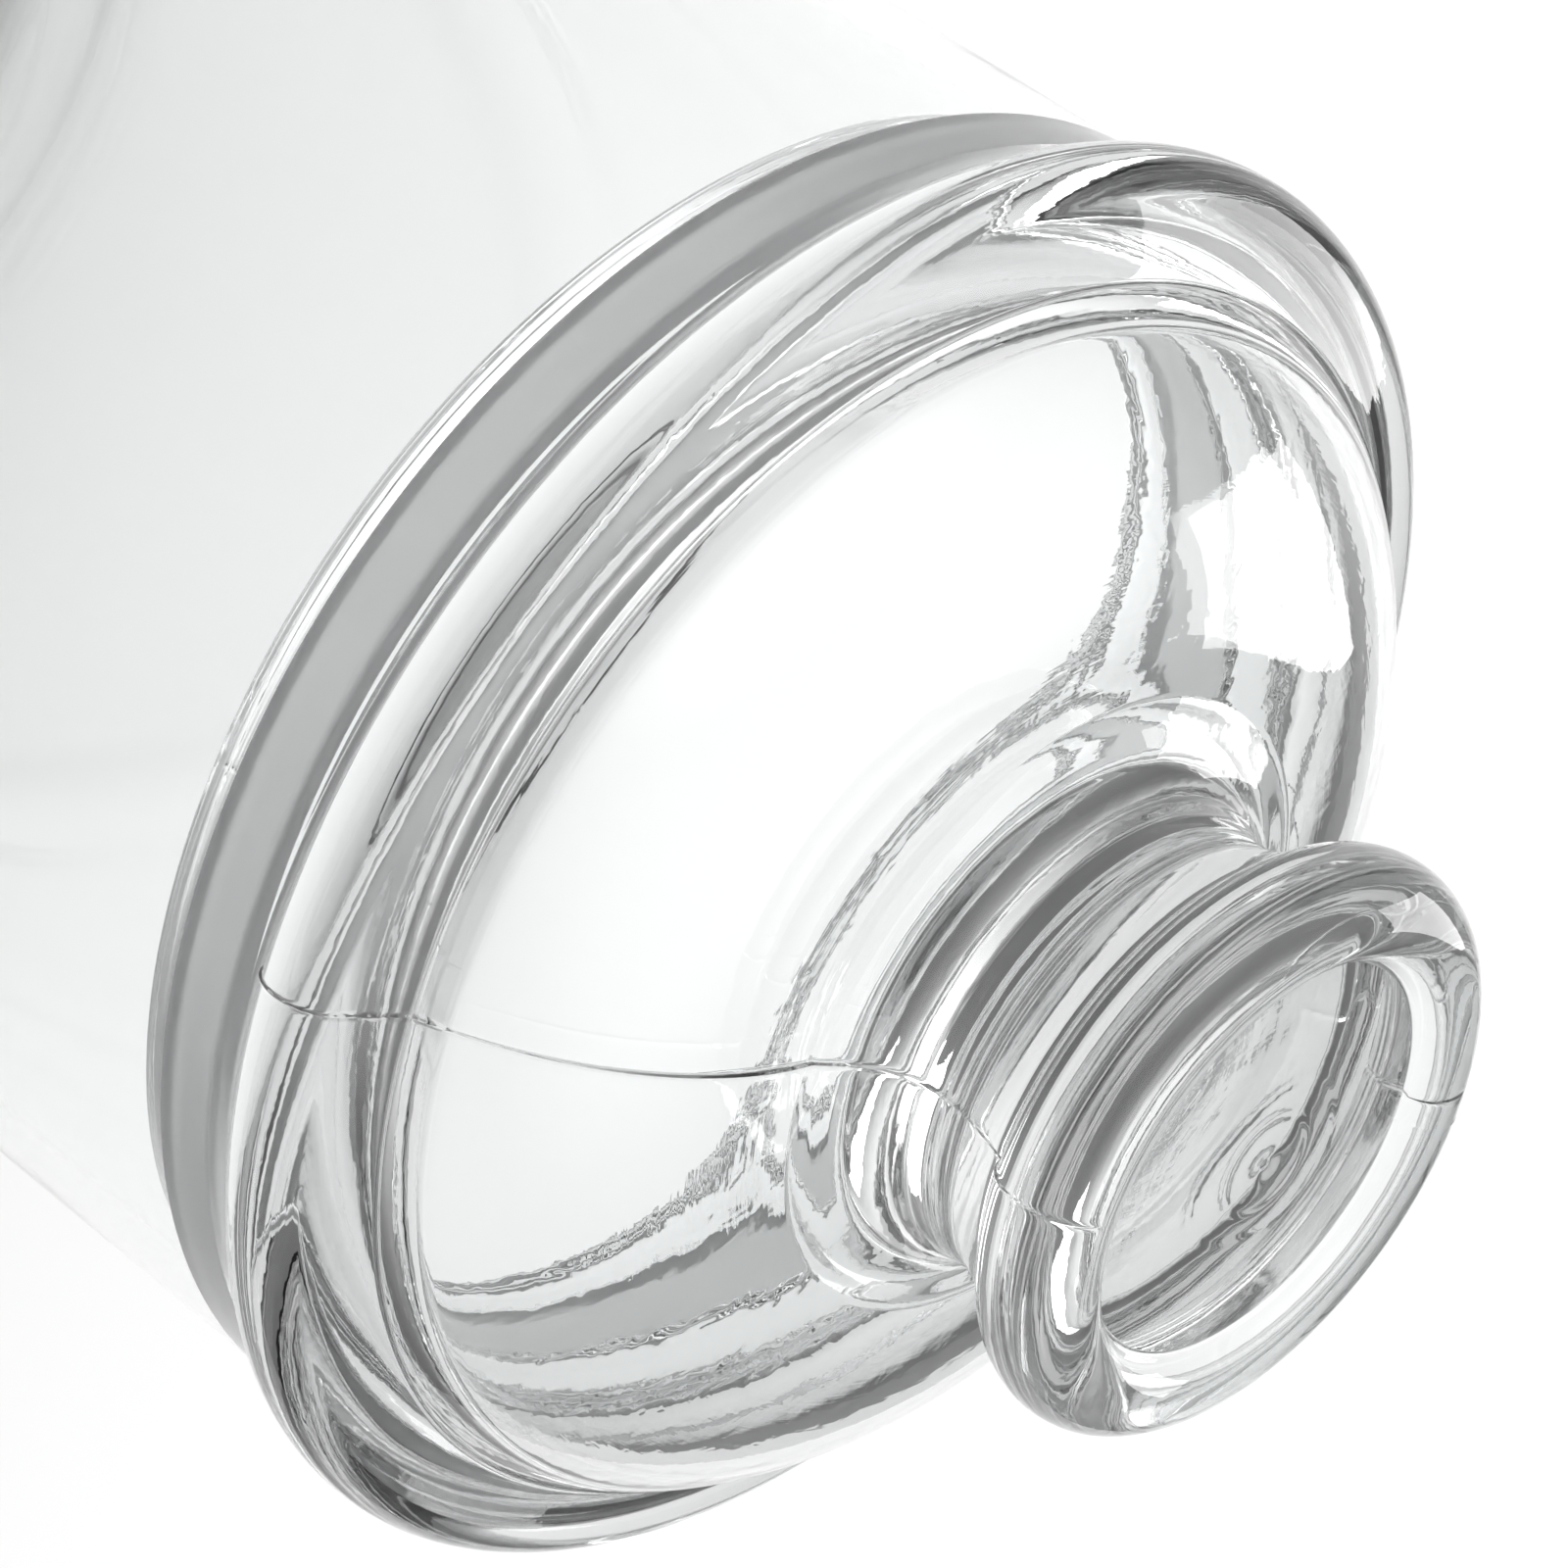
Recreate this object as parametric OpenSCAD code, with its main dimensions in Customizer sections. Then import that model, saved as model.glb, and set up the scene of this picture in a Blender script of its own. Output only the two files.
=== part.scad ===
// Specimen jar: a clear straight-sided glass jar with a pressed glass lid.
// The lid's plug drops into the jar's mouth, and a silicone ring in the plug's
// groove seals it against the bore. Millimetres, +Z up, origin at the middle
// of the foot.

/* [Jar body] */
// Outside diameter of the straight wall
jar_d = 103.4; // [100:0.2:106]
// Height from the foot to the top of the mouth
jar_h = 143; // [100:1:200]
// Wall thickness
wall_t = 2.6; // [2:0.1:3.2]
// Thickness of the floor at its middle, above the push-up
floor_t = 5; // [4:0.5:7]
// Height of the push-up under the floor
push_up_h = 2; // [1:0.5:3]
// Radius of the heel, where the wall turns into the foot
heel_r = 9; // [7:0.5:10]
// Radius of the inside corner between wall and floor
inner_heel_r = 10; // [8:0.5:12]
// Width of the flat ring that the jar stands on
foot_w = 5; // [3:0.5:8]

/* [Lid rim and plug] */
// Outside diameter of the lid's round-edged rim
rim_d = 110; // [108:0.5:114]
// Thickness of the rim at its round edge
rim_t = 6.8; // [6:0.1:7.4]
// Slope of the rim's top, falling outwards, in degrees
rim_slope = 18; // [10:1:20]
// Depth of the plug below the rim
plug_h = 12.5; // [11.5:0.1:14]
// Gap between the plug's beads and the bore
plug_gap = 0.8; // [0.5:0.1:1.2]
// Thickness of the plug's wall at its beads
plug_wall_t = 5.2; // [4.4:0.1:6]
// Depth of the seal groove
groove_depth = 2.2; // [1.6:0.1:2.6]
// Height of the seal groove
groove_h = 5.6; // [5:0.1:6]
// Height of the bead below the groove
lower_bead_h = 2.9; // [2:0.1:3.2]

/* [Dome] */
// Radius of the dome's outside arc
dome_r = 26; // [25:0.2:26.6]
// Distance of the arc's centre from the axis
dome_offset = 24.5; // [24:0.5:25]
// Height of the dome's outside above the rim's underside
dome_h = 21.8; // [21:0.2:22.6]
// Thickness of the dome
dome_t = 3.6; // [3:0.1:4.5]
// Radius of the inside bend from plug to dome
shoulder_r = 2; // [1.5:0.5:4]
// Radius of the round corner where the dome springs from the rim
spring_r = 0.8; // [0.5:0.1:1.5]
// Diameter of the shallow hollow inside, below the neck
hollow_d = 41.4; // [39:0.2:44]
// Width of the hollow's sloping side
hollow_side_w = 3.2; // [2:0.1:4]
// Slope of the hollow's side, in degrees
hollow_slope = 22; // [10:1:25]

/* [Knob] */
// Diameter of the neck under the knob
neck_d = 34.2; // [30:0.2:35]
// Width of the flat ring between the dome's arc and the neck's foot
neck_foot_w = 1; // [0.5:0.1:2]
// Slope of the cone at the neck's foot, in degrees
neck_foot_slope = 22; // [15:1:25]
// Radius of the sweep from that cone to the neck
sweep_r = 5.5; // [4:0.1:6]
// Height of the neck's top above the rim's underside
neck_top_h = 30; // [29:0.1:34]
// Height of the flared collar between neck and knob
collar_h = 5.2; // [4:0.1:6]
// How far the collar flares out
collar_flare = 1.9; // [1:0.1:2.5]
// Outside diameter of the knob's ring
knob_d = 44.1; // [42:0.1:48]
// Radius of the ring's round section, outside its crest
knob_section_r = 4.3; // [3.8:0.1:4.6]
// Radius of the ring's section inside its crest
knob_inner_r = 2.6; // [2:0.1:3]
// Depth of the dish's edge below the ring's crest
dish_depth = 2.2; // [1.6:0.1:2.6]
// How much higher the dish's middle is than its edge
dish_crown = 0.9; // [0:0.1:1.2]

/* [Fits] */
// Gap between the rim's underside and the jar's mouth
seat_gap = 0.2; // [0.1:0.1:0.5]
// Gap all round the sealing ring
seal_gap = 0.1; // [0.05:0.05:0.2]

/* [Hidden] */
$fn = 96;

// Segments in a quarter turn of an outline's arc
quarter_steps = 10;

jar_r = jar_d / 2;
bore_r = jar_r - wall_t;
mouth_r = wall_t / 2;
foot_outer_r = jar_r - heel_r;
foot_inner_r = foot_outer_r - foot_w;
floor_z = push_up_h + floor_t;

rim_z = jar_h + seat_gap;
rim_edge_r = rim_t / 2;
rim_r = rim_d / 2;
plug_r = bore_r - plug_gap;
plug_inner_r = plug_r - plug_wall_t;
plug_z = rim_z - plug_h;
groove_z = plug_z + lower_bead_h;
groove_top_z = groove_z + groove_h;
groove_r = plug_r - groove_depth;
lip_r = 1.1;
bead_r = 0.8;

dome_top_z = rim_z + dome_h;
dome_z = dome_top_z - dome_r;
dome_in_r = dome_r - dome_t;
shoulder_x = plug_inner_r - shoulder_r;
shoulder_reach = dome_in_r - shoulder_r;
shoulder_z = dome_z + sqrt(pow(shoulder_reach, 2) - pow(shoulder_x - dome_offset, 2));
shoulder_a = atan2(shoulder_z - dome_z, shoulder_x - dome_offset);

// The small arc that leads from the rim's sloping top into the dome. Its centre is
// spring_r above the rim's top and dome_r + spring_r from the dome's centre. It is
// found by going inwards along that top, by spring_go, from above the rim's edge.
edge_x = rim_r - rim_edge_r;
edge_z = rim_z + rim_edge_r;
from_x = edge_x + (rim_edge_r + spring_r) * sin(rim_slope) - dome_offset;
from_z = edge_z + (rim_edge_r + spring_r) * cos(rim_slope) - dome_z;
inward = from_x * cos(rim_slope) - from_z * sin(rim_slope);
spring_go = inward - sqrt(pow(inward, 2) - pow(from_x, 2) - pow(from_z, 2)
    + pow(dome_r + spring_r, 2));
spring_x = dome_offset + from_x - spring_go * cos(rim_slope);
spring_z = dome_z + from_z + spring_go * sin(rim_slope);
spring_a = atan2(spring_z - dome_z, spring_x - dome_offset);

neck_r = neck_d / 2;
neck_foot_r = dome_offset - neck_foot_w;
sweep_x = neck_r + sweep_r;
cone_x = sweep_x - sweep_r * sin(neck_foot_slope);
cone_z = dome_top_z + (neck_foot_r - cone_x) * tan(neck_foot_slope);
sweep_z = cone_z + sweep_r * cos(neck_foot_slope);
neck_z = rim_z + neck_top_h;
collar_top_z = neck_z + collar_h;
collar_top_r = neck_r + collar_flare;

knob_ring_r = knob_d / 2 - knob_section_r;
knob_from_a = -acos((collar_top_r - knob_ring_r) / knob_section_r);
knob_z = collar_top_z - knob_section_r * sin(knob_from_a);
knob_inner_z = knob_z + knob_section_r - knob_inner_r;
knob_to_a = 180 - asin(1 - dish_depth / knob_inner_r);
dish_r = knob_ring_r + knob_inner_r * cos(knob_to_a);
dish_z = knob_inner_z + knob_inner_r * sin(knob_to_a);

hollow_r = hollow_d / 2;
hollow_roof_r = hollow_r - hollow_side_w;
hollow_foot_z = dome_z + dome_in_r;
hollow_roof_z = hollow_foot_z + hollow_side_w * tan(hollow_slope);

// Points of an arc about [x, z] with radius r, from angle a to angle b
function arc(x, z, r, a, b) =
    let (n = max(2, ceil(abs(b - a) / 90 * quarter_steps)))
    [for (i = [0 : n]) let (t = a + (b - a) * i / n) [x + r * cos(t), z + r * sin(t)]];

// The same points without the first, for an arc that goes on from another
function go_on(points) = [for (i = [1 : len(points) - 1]) points[i]];

// A shallow crown: height h at the axis, none at radius r, going inwards
function crown(r, z, h) =
    [for (i = [1 : quarter_steps])
        let (x = r * (1 - i / quarter_steps)) [x, z + h * (1 - pow(x / r, 2))]];

module jar_body() {
    outline = concat(
        [[0, push_up_h]],
        [for (p = [quarter_steps - 1 : -1 : 0])
            let (x = foot_inner_r * (1 - p / quarter_steps))
            [x, push_up_h * (1 - pow(x / foot_inner_r, 2))]],
        arc(foot_outer_r, heel_r, heel_r, -90, 0),
        arc(jar_r - mouth_r, jar_h - mouth_r, mouth_r, 0, 180),
        arc(bore_r - inner_heel_r, floor_z + inner_heel_r, inner_heel_r, 0, -90),
        [[0, floor_z]]
    );
    color("azure", 0.35) rotate_extrude() polygon(outline);
}

module gasket() {
    inner_r = groove_r + seal_gap;
    outer_r = bore_r - seal_gap;
    low_z = groove_z + seal_gap;
    high_z = groove_top_z - seal_gap;
    edge_r = 0.6;
    outline = concat(
        [[inner_r, low_z]],
        arc(outer_r - edge_r, low_z + edge_r, edge_r, -90, 0),
        arc(outer_r - edge_r, high_z - edge_r, edge_r, 0, 90),
        [[inner_r, high_z]]
    );
    color("silver", 0.7) rotate_extrude() polygon(outline);
}

module lid() {
    plug_outside = concat(
        arc(plug_inner_r + lip_r, plug_z + lip_r, lip_r, 180, 270),
        arc(plug_r - lip_r, plug_z + lip_r, lip_r, -90, 0),
        arc(plug_r - bead_r, groove_z - bead_r, bead_r, 0, 90),
        [[groove_r, groove_z], [groove_r, groove_top_z]],
        arc(plug_r - bead_r, groove_top_z + bead_r, bead_r, -90, 0),
        [[plug_r, rim_z]]
    );
    rim_and_dome = concat(
        arc(edge_x, edge_z, rim_edge_r, -90, 90 - rim_slope),
        arc(spring_x, spring_z, spring_r, 270 - rim_slope, 180 + spring_a),
        arc(dome_offset, dome_z, dome_r, spring_a, 90),
        [[neck_foot_r, dome_top_z]],
        arc(sweep_x, sweep_z, sweep_r, 270 - neck_foot_slope, 180)
    );
    knob = concat(
        [[neck_r, neck_z], [collar_top_r, collar_top_z]],
        arc(knob_ring_r, knob_z, knob_section_r, knob_from_a, 90),
        go_on(arc(knob_ring_r, knob_inner_z, knob_inner_r, 90, knob_to_a)),
        crown(dish_r, dish_z, dish_crown)
    );
    inside = concat(
        [[0, hollow_roof_z], [hollow_roof_r, hollow_roof_z], [hollow_r, hollow_foot_z]],
        arc(dome_offset, dome_z, dome_in_r, 90, shoulder_a),
        go_on(arc(shoulder_x, shoulder_z, shoulder_r, shoulder_a, 0))
    );
    color("azure", 0.35) rotate_extrude()
        polygon(concat(plug_outside, rim_and_dome, knob, inside));
}

jar_body();
gasket();
lid();
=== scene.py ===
"""A specimen jar of clear glass: a straight-sided jar, a pressed lid with a ring
knob, and the silicone ring that seals the lid's plug in the mouth.

Lengths are in millimetres until a mesh is made, and the axis is Z. Every shape is
an outline in the (radius, height) plane, turned about the axis, with the small
faults that the mould and the plunger leave in the glass.
"""
import math

import bpy
import numpy as np
from mathutils import Matrix, Vector


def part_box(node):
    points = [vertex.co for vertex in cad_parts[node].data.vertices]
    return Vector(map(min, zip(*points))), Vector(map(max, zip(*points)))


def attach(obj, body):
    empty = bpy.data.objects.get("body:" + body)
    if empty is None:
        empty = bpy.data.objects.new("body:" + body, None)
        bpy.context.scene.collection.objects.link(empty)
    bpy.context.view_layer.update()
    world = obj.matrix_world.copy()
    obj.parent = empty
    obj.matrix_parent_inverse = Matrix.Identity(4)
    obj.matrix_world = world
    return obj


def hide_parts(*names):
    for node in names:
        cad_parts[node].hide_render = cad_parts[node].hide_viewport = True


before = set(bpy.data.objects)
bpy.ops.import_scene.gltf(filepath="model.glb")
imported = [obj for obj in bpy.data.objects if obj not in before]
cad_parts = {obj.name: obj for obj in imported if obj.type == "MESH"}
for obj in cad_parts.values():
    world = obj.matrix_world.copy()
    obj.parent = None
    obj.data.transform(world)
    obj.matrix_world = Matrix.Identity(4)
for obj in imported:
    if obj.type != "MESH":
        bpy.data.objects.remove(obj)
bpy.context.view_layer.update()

MM = 0.001

# The mould's parting plane, as the direction of its near half round the axis, and
# the width and height of the fine ridge that it leaves on the outside of the glass
PARTING_A = math.radians(-60)
SEAM_W = 0.15
SEAM_H = 0.2


def node_high_mm(name):
    """Highest corner of a node of the frame, in millimetres."""
    return np.array(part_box(name)[1]) / MM


# ---------------------------------------------------------------- dimensions

jar_high = node_high_mm("jar_body")
lid_high = node_high_mm("lid")

JAR_H = jar_high[2]
JAR_R = jar_high[0]
WALL = 2.6
BORE_R = JAR_R - WALL
MOUTH_R = WALL / 2
HEEL_R = 9.0
INNER_HEEL_R = 10.0
PUSH_UP_H = 2.0
FLOOR_T = 5.0
FLOOR_Z = PUSH_UP_H + FLOOR_T
FOOT_W = 5.0
FOOT_OUTER_R = JAR_R - HEEL_R
FOOT_INNER_R = FOOT_OUTER_R - FOOT_W

SEAT_GAP = 0.2
RIM_Z = JAR_H + SEAT_GAP
RIM_EDGE_R = 3.4
RIM_SLOPE = 18.0
RIM_R = lid_high[0] - SEAM_H
PLUG_GAP = 0.8
PLUG_H = 12.5
PLUG_T = 5.2
PLUG_R = BORE_R - PLUG_GAP
PLUG_Z = RIM_Z - PLUG_H
PLUG_INNER_R = PLUG_R - PLUG_T
LOWER_BEAD_H = 2.9
GROOVE_H = 5.6
GROOVE_DEPTH = 2.2
GROOVE_Z = PLUG_Z + LOWER_BEAD_H
GROOVE_TOP_Z = GROOVE_Z + GROOVE_H
GROOVE_R = PLUG_R - GROOVE_DEPTH
LIP_R = 1.1
BEAD_R = 0.8

DOME_R = 26.0
DOME_X = 24.5
DOME_H = 21.8
DOME_T = 3.6
DOME_TOP_Z = RIM_Z + DOME_H
DOME_Z = DOME_TOP_Z - DOME_R
DOME_IN_R = DOME_R - DOME_T
SHOULDER_R = 2.0
SPRING_R = 0.8
NECK_R = 17.1
SWEEP_R = 5.5
NECK_FOOT_R = 23.5
NECK_FOOT_SLOPE = 22.0
NECK_TOP_H = 30.0
NECK_Z = RIM_Z + NECK_TOP_H
COLLAR_H = 5.2
COLLAR_FLARE = 1.9
COLLAR_TOP_Z = NECK_Z + COLLAR_H
COLLAR_TOP_R = NECK_R + COLLAR_FLARE
KNOB_R = 22.05
KNOB_T = 4.3
KNOB_X = KNOB_R - KNOB_T
KNOB_INNER_T = 2.6
KNOB_INNER_A = 172.0
DISH_CROWN = 0.9
DISH_ROWS = 48
HOLLOW_R = 20.7
HOLLOW_SLOPE = 22.0
HOLLOW_SIDE_W = 3.2
HOLLOW_ROOF_R = HOLLOW_R - HOLLOW_SIDE_W

SEAL_PLAY = 0.02
SEAL_SQUEEZE = 0.02
SEAL_END_PLAY = 0.05
SEAL_CORNER_R = 0.5


# ---------------------------------------------------------------- outlines

def arc(x, z, r, a, b, step=0.85):
    """Points on the circle of radius r about (x, z), from angle a to b in degrees,
    at most step apart: x + r cos t, z + r sin t."""
    n = max(3, int(abs(math.radians(b - a)) * r / step) + 1)
    t = np.radians(np.linspace(a, b, n + 1))
    return np.stack([x + r * np.cos(t), z + r * np.sin(t)], 1)


def line(p, q, step=1.2):
    """Points evenly spaced on the straight stretch from p to q."""
    p, q = np.array(p, float), np.array(q, float)
    n = max(2, int(np.linalg.norm(q - p) / step) + 1)
    return p + (q - p) * np.linspace(0, 1, n + 1)[:, None]


def outline(*stretches):
    """Stretches end to end as one outline, without the points that repeat."""
    pts = np.concatenate(stretches)
    keep = np.ones(len(pts), bool)
    keep[1:] = np.linalg.norm(np.diff(pts, axis=0), axis=1) > 1e-4
    return pts[keep]


def bridge(stretches, step=1.2):
    """The stretches with straight lines between the end of each and the start
    of the next."""
    out = [stretches[0]]
    for s in stretches[1:]:
        out += [line(out[-1][-1], s[0], step), s]
    return outline(*out)


# ---------------------------------------------------------------- turned surfaces

def turn(name, pts, faults=None, around=360, seam=False):
    """A closed surface of revolution. A point at angle t is (r cos t, r sin t, z),
    moved along the outline's normal by faults(t, s, r, z), where s is the distance
    along the outline. The outline runs so that the outside is on its right. Where
    an end of it lies on the axis, that end is one vertex, and an outline whose
    ends don't lie on the axis is closed on itself.

    With seam, the columns of vertices crowd together at the parting plane, at
    fixed distances in millimetres from it, so its fine ridge is real geometry.
    Near the axis, where these would run into the next columns, they draw in."""
    pole_a, pole_b = pts[0, 0] < 1e-6, pts[-1, 0] < 1e-6
    closed = not (pole_a or pole_b)
    grad = np.gradient(pts, axis=0)
    if closed:
        grad = (np.roll(pts, -1, 0) - np.roll(pts, 1, 0)) / 2
    grad /= np.linalg.norm(grad, axis=1)[:, None]
    normal = np.stack([grad[:, 1], -grad[:, 0]], 1)
    steps = np.linalg.norm(np.diff(pts, axis=0), axis=1)
    s = np.concatenate([[0], np.cumsum(steps)])
    body = slice(1 if pole_a else 0, len(pts) - 1 if pole_b else len(pts))
    p, n, sb = pts[body], normal[body], s[body]

    start = PARTING_A + math.pi
    if seam:
        after = SEAM_W * np.array([0.2, 0.5, 0.9, 1.4, 2.1, 3.2])
        before = -after[::-1]
        half = np.linspace(0, math.pi, around // 2 + 1)[1:-1]
        base = np.concatenate([0 * after, half, 0 * before + math.pi, 0 * after + math.pi,
                               math.pi + half, 0 * before + 2 * math.pi])
        off = np.concatenate([after, 0 * half, before, after, 0 * half, before])
        reach = np.minimum(1.0, p[:, 0] * (half[0] * 0.45) / after[-1])
        t = base[None] + off[None] * reach[:, None] / p[:, :1]
    else:
        t = np.broadcast_to(np.linspace(0, 2 * math.pi, around, endpoint=False), (len(p), around))
    cols = t.shape[1]
    move = faults(t + start, sb[:, None], p[:, :1], p[:, 1:]) if faults else 0 * t
    r = p[:, :1] + n[:, :1] * move
    z = p[:, 1:] + n[:, 1:] * move
    ang = t + start
    grid = np.stack([r * np.cos(ang), r * np.sin(ang), z + 0 * ang], -1)
    rows = len(p)
    verts = [grid.reshape(-1, 3)]
    idx = np.arange(rows * cols).reshape(rows, cols)
    nxt = np.roll(idx, -1, axis=1)
    lower, upper = idx[:-1], idx[1:]
    nlow, nupp = nxt[:-1], nxt[1:]
    if closed:
        lower, upper = idx, np.roll(idx, -1, 0)
        nlow, nupp = nxt, np.roll(nxt, -1, 0)
    quads = np.stack([lower, nlow, nupp, upper], -1).reshape(-1, 4)
    faces = [quads]
    count = rows * cols
    tris = []
    for is_pole, row, flip, end in ((pole_a, 0, False, 0), (pole_b, rows - 1, True, -1)):
        if is_pole:
            verts.append(np.array([[0, 0, pts[end, 1]]]))
            ring, ring_next = idx[row], nxt[row]
            a, b = (ring, ring_next) if flip else (ring_next, ring)
            tris.append(np.stack([np.full(cols, count), a, b], -1))
            count += 1
    mesh = bpy.data.meshes.new(name)
    mesh.from_pydata((np.concatenate(verts) * MM).tolist(), [],
                     quads.tolist() + [q for tri in tris for q in tri.tolist()])
    mesh.polygons.foreach_set("use_smooth", np.ones(len(mesh.polygons), bool))
    # The UV map unrolls the surface: distance round the axis, distance along it
    u = (t * RIM_R / 2).reshape(-1)
    v = np.repeat(sb, cols)
    u = np.concatenate([u, np.zeros(count - rows * cols)])
    v = np.concatenate([v, [s[0]] * bool(pole_a) + [s[-1]] * bool(pole_b)])
    loops = np.zeros(len(mesh.loops), np.int64)
    mesh.loops.foreach_get("vertex_index", loops)
    uv = np.stack([u[loops], v[loops]], 1)
    wrap = np.repeat(np.arange(len(quads)) % cols == cols - 1, 4)
    quad_uv = uv[:len(quads) * 4, 0]
    quad_uv[wrap & (quad_uv < RIM_R)] += math.pi * RIM_R
    layer = mesh.uv_layers.new(name="unrolled")
    layer.data.foreach_set("uv", uv.astype(np.float32).reshape(-1))
    mesh.update()
    piece = bpy.data.objects.new(name, mesh)
    bpy.context.scene.collection.objects.link(piece)
    return piece


def slow_waves(t, s, size, seed):
    """The slow unevenness of hot-pressed glass: a sum of a few cosines of the
    angle and the distance along the outline, with random phases."""
    rng = np.random.default_rng(seed)
    total = 0
    for k, pitch in ((2, 60), (3, 38), (5, 27), (8, 19), (13, 12)):
        phase_t, phase_s = rng.uniform(0, 2 * math.pi, 2)
        along = np.cos(2 * math.pi * s / pitch + phase_s)
        total = total + np.cos(k * t + phase_t) * along / k ** 0.7
    return size * total


# ---------------------------------------------------------------- the lid

def hollow():
    """The shallow hollow that the plunger's end leaves below the neck: a flat
    roof, and a sloping side down to the dome's inside."""
    foot_z = DOME_Z + DOME_IN_R
    roof_z = foot_z + (HOLLOW_R - HOLLOW_ROOF_R) * math.tan(math.radians(HOLLOW_SLOPE))
    return outline(line((0, roof_z), (HOLLOW_ROOF_R, roof_z)),
                   line((HOLLOW_ROOF_R, roof_z), (HOLLOW_R, foot_z)))


def lid_outline():
    """The lid's outline from the axis under the hollow, down the plug's inside, up
    its outside, over the rim, dome, neck and knob, and back to the axis in the dish."""
    reach = DOME_IN_R - SHOULDER_R
    sx = PLUG_INNER_R - SHOULDER_R
    sz = DOME_Z + math.sqrt(reach ** 2 - (sx - DOME_X) ** 2)
    sa = math.degrees(math.atan2(sz - DOME_Z, sx - DOME_X))
    edge_x = RIM_R - RIM_EDGE_R
    edge_z = RIM_Z + RIM_EDGE_R
    # The bend's centre is its radius above the rim's sloping top, and as far
    # outside the dome's arc
    fall = math.radians(RIM_SLOPE)
    from_x = edge_x + (RIM_EDGE_R + SPRING_R) * math.sin(fall) - DOME_X
    from_z = edge_z + (RIM_EDGE_R + SPRING_R) * math.cos(fall) - DOME_Z
    inward = from_x * math.cos(fall) - from_z * math.sin(fall)
    go = inward - math.sqrt(inward ** 2 - from_x ** 2 - from_z ** 2 + (DOME_R + SPRING_R) ** 2)
    spring_x = DOME_X + from_x - go * math.cos(fall)
    spring_z = DOME_Z + from_z + go * math.sin(fall)
    spring_a = math.degrees(math.atan2(spring_z - DOME_Z, spring_x - DOME_X))
    sweep_x = NECK_R + SWEEP_R
    slope = math.radians(NECK_FOOT_SLOPE)
    cone_x = sweep_x - SWEEP_R * math.sin(slope)
    cone_z = DOME_TOP_Z + (NECK_FOOT_R - cone_x) * math.tan(slope)
    sweep_z = cone_z + SWEEP_R * math.cos(slope)
    collar_a = -math.degrees(math.acos((COLLAR_TOP_R - KNOB_X) / KNOB_T))
    knob_z = COLLAR_TOP_Z - KNOB_T * math.sin(math.radians(collar_a))
    inner = arc(KNOB_X, knob_z + KNOB_T - KNOB_INNER_T, KNOB_INNER_T, 90, KNOB_INNER_A, 0.4)
    dish_r, dish_z = inner[-1]
    x = np.linspace(dish_r, 0, DISH_ROWS)
    dish = np.stack([x, dish_z + DISH_CROWN * (1 - (x / dish_r) ** 2)], 1)
    return bridge([
        hollow(),
        arc(DOME_X, DOME_Z, DOME_IN_R, 90, sa),
        arc(sx, sz, SHOULDER_R, sa, 0),
        arc(PLUG_INNER_R + LIP_R, PLUG_Z + LIP_R, LIP_R, 180, 270, 0.3),
        arc(PLUG_R - LIP_R, PLUG_Z + LIP_R, LIP_R, -90, 0, 0.3),
        arc(PLUG_R - BEAD_R, GROOVE_Z - BEAD_R, BEAD_R, 0, 90, 0.25),
        arc(GROOVE_R + 0.3, GROOVE_Z + 0.3, 0.3, 270, 180, 0.12),
        arc(GROOVE_R + 0.3, GROOVE_TOP_Z - 0.3, 0.3, 180, 90, 0.12),
        arc(PLUG_R - BEAD_R, GROOVE_TOP_Z + BEAD_R, BEAD_R, -90, 0, 0.25),
        arc(PLUG_R + 0.3, RIM_Z - 0.3, 0.3, 180, 90, 0.12),
        arc(edge_x, edge_z, RIM_EDGE_R, -90, 90 - RIM_SLOPE, 0.42),
        arc(spring_x, spring_z, SPRING_R, 270 - RIM_SLOPE, 180 + spring_a, 0.2),
        arc(DOME_X, DOME_Z, DOME_R, spring_a, 90),
        line((NECK_FOOT_R, DOME_TOP_Z), (cone_x + 0.2, cone_z - 0.2 * math.tan(slope))),
        arc(sweep_x, sweep_z, SWEEP_R, 270 - NECK_FOOT_SLOPE, 180, 0.36),
        line((NECK_R, sweep_z + 0.3), (NECK_R, NECK_Z), 0.32),
        arc(KNOB_X, knob_z, KNOB_T, collar_a, 90, 0.42),
        inner,
        dish,
    ])


def bell(x, width):
    """A bell curve of x, one high."""
    return np.exp(-(x / width) ** 2)


def gate_mark(t, r):
    """The scar where the hot glass was fed in, on the middle of the dish: a dimple,
    a ring of 3.9 mm round it, and the uneven edge of the first chill at 6.4 mm. Each
    is a bell curve of the distance from its circle."""
    uneven = 6.4 + 0.5 * np.cos(2 * t + 1) + 0.3 * np.cos(3 * t + 2)
    return 0.05 * bell(r - 3.9, 0.3) + 0.02 * bell(r - uneven, 0.4) - 0.14 * bell(r, 0.9)


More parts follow.
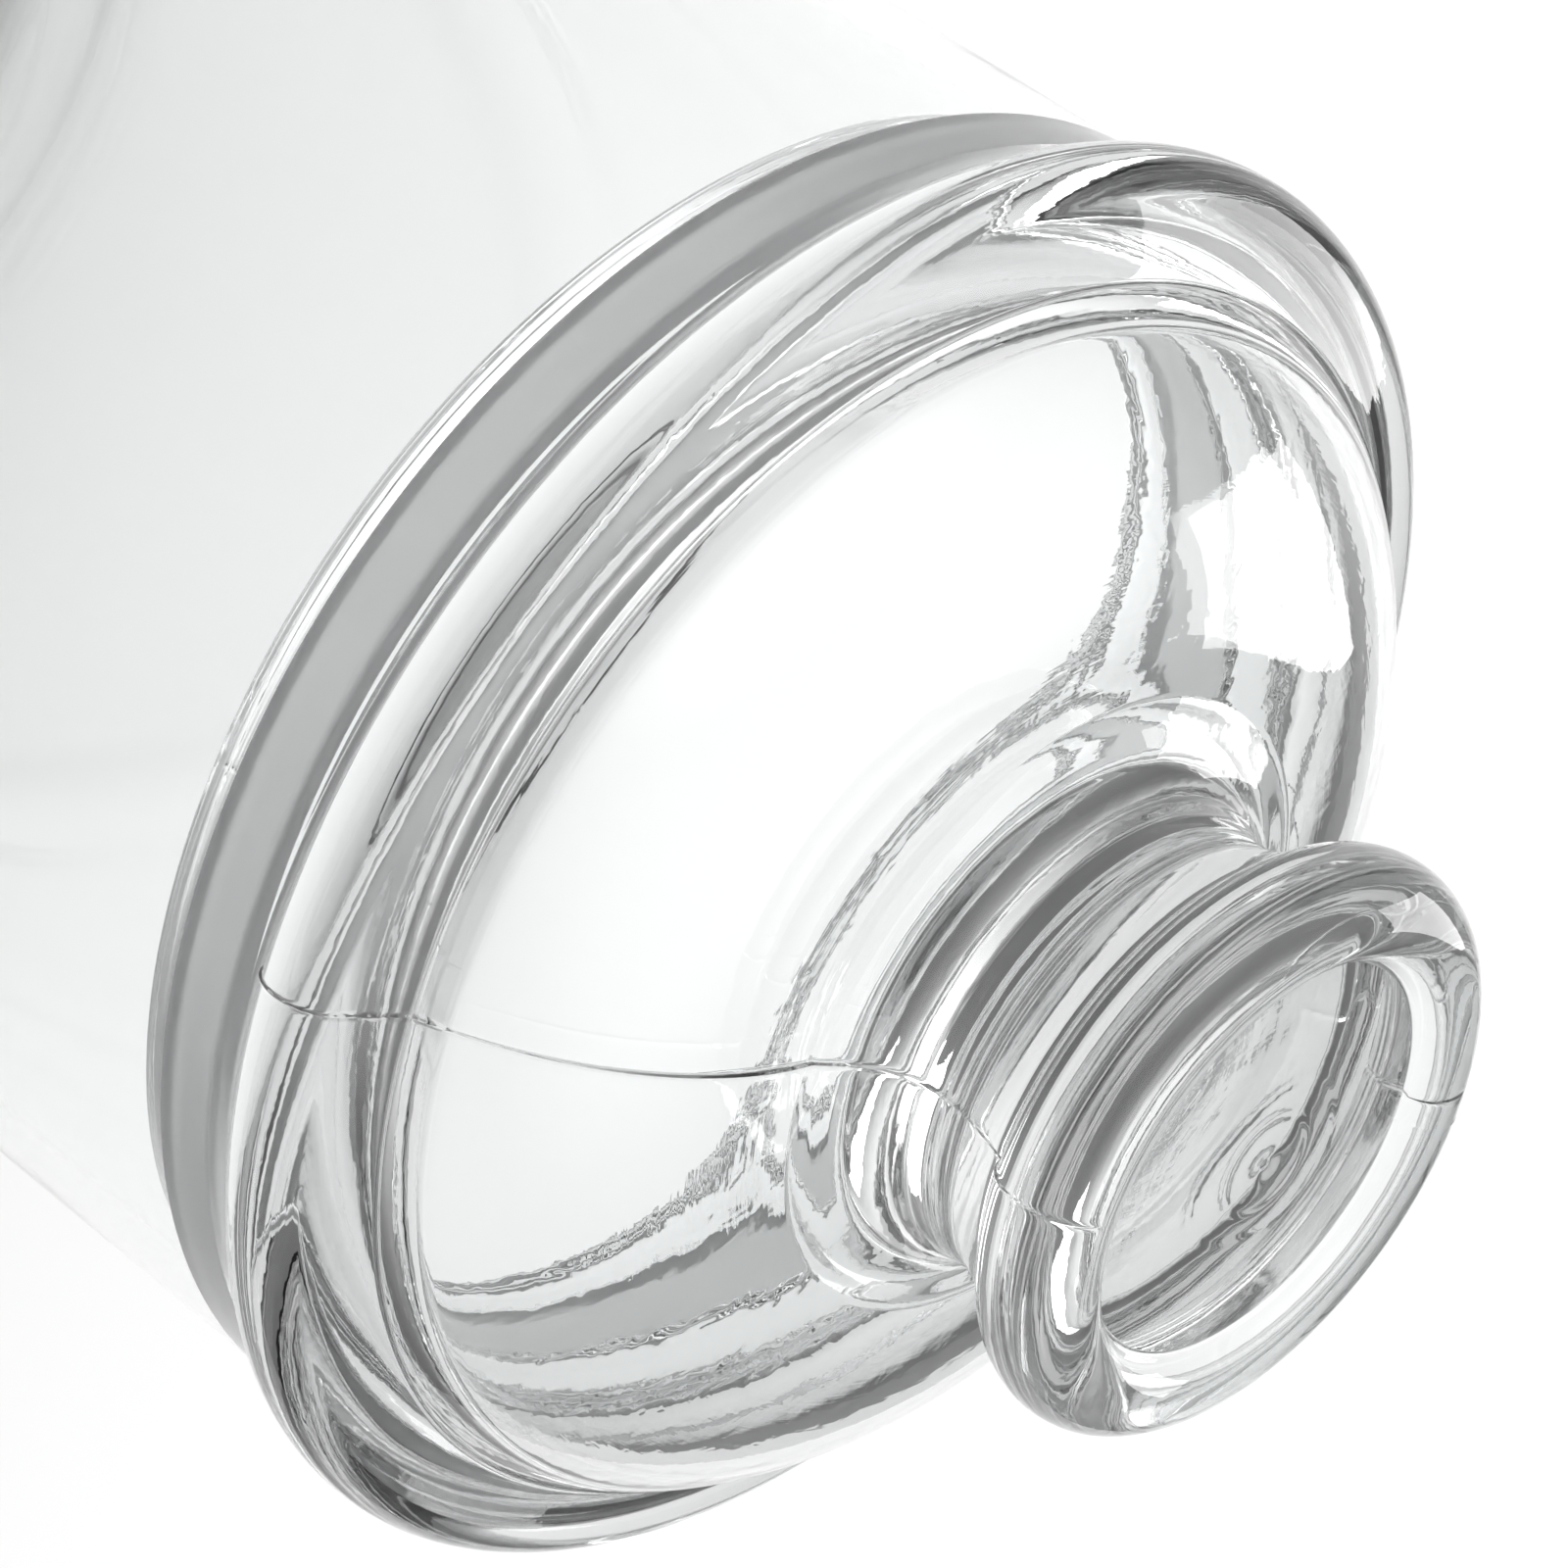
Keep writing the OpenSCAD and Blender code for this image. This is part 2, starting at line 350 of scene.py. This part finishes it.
def lid_faults(t, s, r, z):
    """Slow waves, turning marks 1.3 mm apart on the neck, the gate mark in the dish,
    and on the rest of the outside above the rim's underside the fine ridge at the
    parting plane: a bell curve of the distance from the plane, on both sides of the
    axis. The waves and the ridge die away at the plug's end and the knob's crest."""
    ridge = SEAM_H * bell(r * np.sin(t - PARTING_A), SEAM_W) * (z > RIM_Z + 0.4)
    in_dish = s > s_dish
    outside = (s > s_outside) & ~in_dish
    ridge = ridge * np.where(z > NECK_Z + 8, 0.4, 1.0)
    turned = 0.035 * np.cos(2 * math.pi * z / 1.3) * bell(z - (NECK_Z - 2), 3.5) * outside
    waves = slow_waves(t, s, 0.012, 3) * (r < RIM_R - 1) * np.where(in_dish, 0.3, 1.0)
    fade = np.clip(np.minimum(z - PLUG_Z, lid_high[2] - z) / 0.8, 0, 1)
    return (waves + ridge * outside) * fade + turned + gate_mark(t, r) * in_dish


lid_pts = lid_outline()
s_all = np.concatenate([[0], np.cumsum(np.linalg.norm(np.diff(lid_pts, axis=0), axis=1))])
s_outside = s_all[np.argmin(lid_pts[:, 1])]
s_dish = s_all[-DISH_ROWS]
lid = turn("pressed_lid", lid_pts, lid_faults, around=290, seam=True)


# ---------------------------------------------------------------- the jar

def jar_outline():
    """The jar's outline from the middle of the push-up, over the foot, up the wall,
    round the mouth, and down the inside to the middle of the floor."""
    x = np.linspace(0, FOOT_INNER_R, 40)
    push = np.stack([x, PUSH_UP_H * (1 - (x / FOOT_INNER_R) ** 2)], 1)
    return bridge([
        push,
        arc(FOOT_OUTER_R, HEEL_R, HEEL_R, -90, 0),
        arc(JAR_R - MOUTH_R, JAR_H - MOUTH_R, MOUTH_R, 0, 180, 0.2),
        arc(BORE_R - INNER_HEEL_R, FLOOR_Z + INNER_HEEL_R, INNER_HEEL_R, 0, -90),
        line((2, FLOOR_Z), (0, FLOOR_Z)),
    ], step=2.2)


def jar_faults(t, s, r, z):
    """Slow waves that die away at the outer wall and at the foot."""
    return slow_waves(t, s, 0.008, 5) * (r < JAR_R - 0.5) * np.clip(z / 2 - 0.2, 0, 1)


jar = turn("jar_glass", jar_outline(), jar_faults)


# ---------------------------------------------------------------- the sealing ring

def seal_outline():
    """A rectangular section with round corners, which the bore squeezes by a hair."""
    inner, outer = GROOVE_R + SEAL_PLAY, BORE_R + SEAL_SQUEEZE
    low, high = GROOVE_Z + SEAL_END_PLAY, GROOVE_TOP_Z - SEAL_END_PLAY
    e = SEAL_CORNER_R
    return bridge([
        arc(inner + e, high - e, e, 90, 180, 0.2),
        arc(inner + e, low + e, e, 180, 270, 0.2),
        arc(outer - e, low + e, e, -90, 0, 0.2),
        arc(outer - e, high - e, e, 0, 90, 0.2),
    ], step=0.4)


seal = turn("silicone_ring", seal_outline(), around=360)


# ---------------------------------------------------------------- materials

def linear(code):
    """An sRGB hex colour as linear red, green, blue and alpha."""
    parts = [int(code[i:i + 2], 16) / 255 for i in (1, 3, 5)]
    return [c / 12.92 if c <= 0.04045 else ((c + 0.055) / 1.055) ** 2.4 for c in parts] + [1]


def add(tree, kind, inputs=None, **settings):
    """Adds a node. An input's value is a number, a colour or another node's socket."""
    made = tree.nodes.new("ShaderNode" + kind)
    for key, value in settings.items():
        setattr(made, key, value)
    for key, value in (inputs or {}).items():
        if isinstance(value, bpy.types.NodeSocket):
            tree.links.new(value, made.inputs[key])
        else:
            made.inputs[key].default_value = value
    return made


def material(name):
    """A new material with an empty node tree, and the tree."""
    mat = bpy.data.materials.new(name)
    mat.use_nodes = True
    mat.node_tree.nodes.clear()
    return mat, mat.node_tree


def finish_surface(tree, surface, inside=None):
    """Joins a surface shader, and one for the inside if there is one, to the output."""
    sockets = {"Surface": surface}
    if inside:
        sockets["Volume"] = inside
    add(tree, "OutputMaterial", sockets)


def soda_lime_glass(name, chill, lines, smear, density):
    """Clear soda-lime glass, fire-polished after it was shaped. chill is the height
    of the patchy ripple, 3 mm across, that the cold mould leaves, and lines the
    height of the fine turning marks that run round it, 0.7 mm apart, in metres.
    smear is the roughness of the handled patches. density is the share of light
    that the glass takes in each metre, which is more in the pressed lid's glass."""
    mat, tree = material(name)
    obj = add(tree, "TexCoord").outputs["Object"]
    patchy = add(tree, "TexNoise", {"Vector": obj, "Scale": 300.0, "Detail": 2.0,
                                    "Distortion": 0.5})
    rippled = add(tree, "Bump", {"Height": patchy.outputs["Fac"], "Strength": 1.0,
                                 "Distance": chill})
    uv = add(tree, "UVMap", uv_map="unrolled").outputs["UV"]
    stretched = add(tree, "Mapping", {"Vector": uv, "Scale": (0.04, 1.4, 1.0)})
    fine = add(tree, "TexNoise", {"Vector": stretched.outputs[0], "Scale": 1.0, "Detail": 3.0})
    lined = add(tree, "Bump", {"Height": fine.outputs["Fac"], "Strength": 1.0, "Distance": lines,
                               "Normal": rippled.outputs[0]})
    # Handling leaves faint patches, 30 mm across, that are a little less glossy
    spots = add(tree, "TexNoise", {"Vector": obj, "Scale": 35.0, "Detail": 4.0})
    rough = add(tree, "MapRange", {"Value": spots.outputs["Fac"], "From Min": 0.45, "From Max": 0.8,
                                   "To Min": 0.0, "To Max": smear})
    shader = add(tree, "BsdfPrincipled", {
        "Base Color": linear("#FCFDFD"), "Transmission Weight": 1.0, "IOR": 1.52,
        "Roughness": rough.outputs[0], "Normal": lined.outputs[0]})
    # The iron in the glass takes a little of the light
    body = add(tree, "VolumeAbsorption", {"Color": linear("#000000"), "Density": density})
    finish_surface(tree, shader.outputs[0], body.outputs[0])
    return mat


def silicone():
    """Clear-grade silicone rubber, moulded: milky all through, with a soft satin skin.
    Its cloudiness varies over 17 mm, and its skin has a grain of about 1 mm."""
    mat, tree = material("translucent_silicone")
    obj = add(tree, "TexCoord")
    cloud = add(tree, "TexNoise", {"Vector": obj.outputs["Object"], "Scale": 60.0, "Detail": 3.0})
    tint = add(tree, "ValToRGB", {"Fac": cloud.outputs["Fac"]})
    tint.color_ramp.elements[0].position = 0.3
    tint.color_ramp.elements[0].color = linear("#F0F0F0")
    tint.color_ramp.elements[1].position = 0.7
    tint.color_ramp.elements[1].color = linear("#F8F8F8")
    grain = add(tree, "TexNoise", {"Vector": obj.outputs["Object"], "Scale": 900.0})
    bump = add(tree, "Bump", {"Height": grain.outputs["Fac"], "Strength": 0.2, "Distance": 0.00005})
    shader = add(tree, "BsdfPrincipled", {
        "Base Color": tint.outputs[0], "Roughness": 0.45, "IOR": 1.41,
        "Subsurface Weight": 1.0, "Subsurface Radius": (0.006, 0.006, 0.006),
        "Subsurface Scale": 1.0, "Transmission Weight": 0.85, "Normal": bump.outputs[0]})
    finish_surface(tree, shader.outputs[0])
    return mat


lid.data.materials.append(soda_lime_glass("pressed_soda_lime_glass", 0.000014, 0.000004, 0.01, 9.0))
jar.data.materials.append(soda_lime_glass("blown_soda_lime_glass", 0.000002, 0.0000005, 0.004, 3.0))
seal.data.materials.append(silicone())

for piece, body, node, slot in ((jar, "jar", "jar_body", "jar_glass"),
                                (lid, "lid", "lid", "lid_glass"),
                                (seal, "seal", "gasket", "silicone")):
    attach(piece, body)
    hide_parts(node)


# ---------------------------------------------------------------- the studio

def studio_floor():
    """A plain white table top."""
    half = 3.0
    mesh = bpy.data.meshes.new("studio_floor")
    mesh.from_pydata([(-half, -half, 0), (half, -half, 0), (half, half, 0), (-half, half, 0)], [],
                     [(0, 1, 2, 3)])
    floor = bpy.data.objects.new("studio_floor", mesh)
    bpy.context.scene.collection.objects.link(floor)
    mat, tree = material("white_matt_laminate")
    shader = add(tree, "BsdfPrincipled", {"Base Color": linear("#E8E8E8"), "Roughness": 0.9,
                                          "Specular IOR Level": 0.0})
    finish_surface(tree, shader.outputs[0])
    mesh.materials.append(mat)


def toward(tree, way, direction, low, high, value_low, value_high):
    """A soft step in brightness across the room: value_low where the cosine of the
    angle to direction is below low, value_high where it is above high."""
    dot = add(tree, "VectorMath", {0: way, 1: Vector(direction).normalized()},
              operation="DOT_PRODUCT")
    return add(tree, "MapRange", {"Value": dot.outputs["Value"], "From Min": low, "From Max": high,
                                  "To Min": value_low, "To Max": value_high},
               interpolation_type="SMOOTHSTEP").outputs[0]


def studio_light():
    """A white room: bright overhead and dim at the horizon, with a grey wall behind
    on the right, a lit wall in front on the left, and a softbox behind on the left."""
    world = bpy.data.worlds.new("studio")
    world.use_nodes = True
    tree = world.node_tree
    tree.nodes.clear()
    way = add(tree, "TexCoord").outputs["Generated"]
    over = toward(tree, way, (-0.25, -0.1, 0.96), 0.35, 0.98, 0.42, 1.7)
    back = toward(tree, way, (0.5, 0.85, 0.15), 0.4, 0.9, 1.0, 0.4)
    front = toward(tree, way, (-0.6, -0.8, 0.25), 0.6, 0.95, 1.0, 1.9)
    room = add(tree, "Math", {0: over, 1: back}, operation="MULTIPLY")
    room = add(tree, "Math", {0: room.outputs[0], 1: front}, operation="MULTIPLY")
    sky = add(tree, "Background", {"Color": (1, 1, 1, 1), "Strength": room.outputs[0]})
    add(tree, "OutputWorld", {"Surface": sky.outputs[0]})
    bpy.context.scene.world = world
    softbox = bpy.data.lights.new("back_softbox", "AREA")
    softbox.size = 0.4
    softbox.energy = 2.0
    lamp = bpy.data.objects.new("back_softbox", softbox)
    lamp.location = (-0.4, 0.7, 0.5)
    lamp.rotation_mode = "QUATERNION"
    lamp.rotation_quaternion = (Vector((-0.05, 0.25, 0)) - lamp.location).to_track_quat("-Z", "Y")
    bpy.context.scene.collection.objects.link(lamp)


def aim_camera():
    """A long lens close to the lid, 32 degrees above it and rolled on its side."""
    cam_data = bpy.data.cameras.new("camera")
    cam = bpy.data.objects.new("camera", cam_data)
    bpy.context.scene.collection.objects.link(cam)
    cam_data.lens = 154.7
    place = Vector((0, -0.3933, 0.3866))
    aim = Vector((-0.00205, 0, 0.13807))
    upright = (aim - place).to_track_quat("-Z", "Y").to_matrix()
    roll = Matrix.Rotation(math.radians(125.43), 3, "Z")
    cam.rotation_mode = "QUATERNION"
    cam.location = place
    cam.rotation_quaternion = (upright @ roll).to_quaternion()
    cam_data.clip_start, cam_data.clip_end = 0.01, 50
    bpy.context.scene.camera = cam


studio_floor()
studio_light()
aim_camera()
scene = bpy.context.scene
scene.view_settings.view_transform = "Standard"
scene.cycles.max_bounces = 28
scene.cycles.transmission_bounces = 28
scene.cycles.transparent_max_bounces = 16
scene.cycles.glossy_bounces = 12
